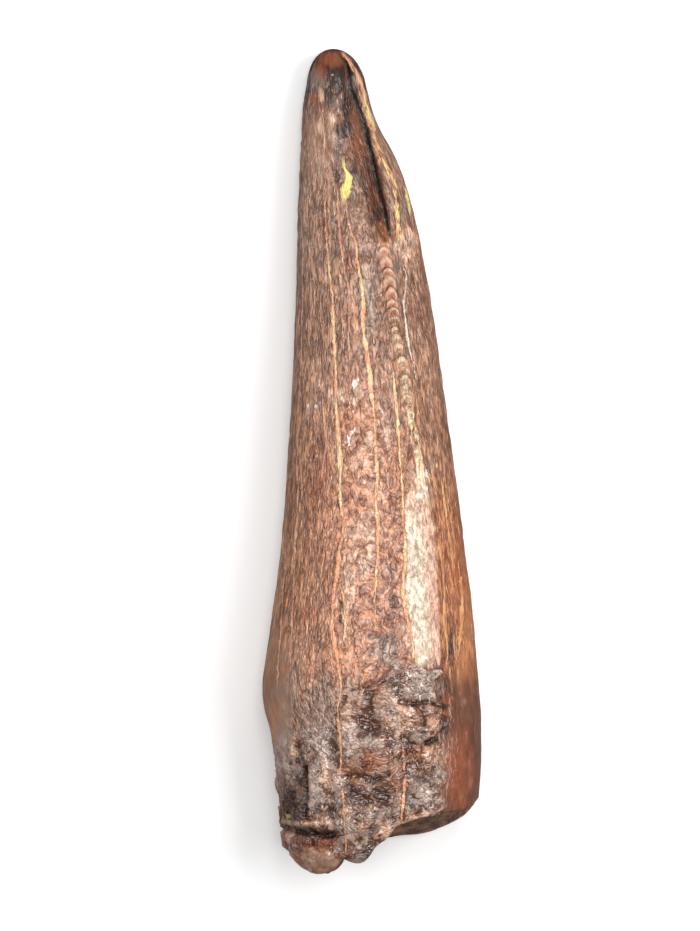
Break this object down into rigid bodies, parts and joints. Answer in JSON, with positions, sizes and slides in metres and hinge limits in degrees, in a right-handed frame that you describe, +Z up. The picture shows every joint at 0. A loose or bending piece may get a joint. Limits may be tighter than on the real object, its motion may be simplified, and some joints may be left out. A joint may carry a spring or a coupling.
{
  "type": "fossil nanotyrannus tooth",
  "caption": "Fossil theropod tooth lying on its side: slender crown with fine serrated edges, a chipped tip and a crusted, broken root end",
  "frame": {"origin": "on the surface the tooth rests on, under the middle of its box", "axes": "+Y runs from the root end to the tip, +X is to the right when the serrated front edge faces up, +Z is up"},
  "size_m": [0.0082, 0.031, 0.0065],
  "materials": {
    "fossil_enamel": "polished brown fossil enamel with a dark crust at the root end"
  },
  "bodies": {
    "root": {"tooth": "fossil_enamel"}
  },
  "joints": []
}
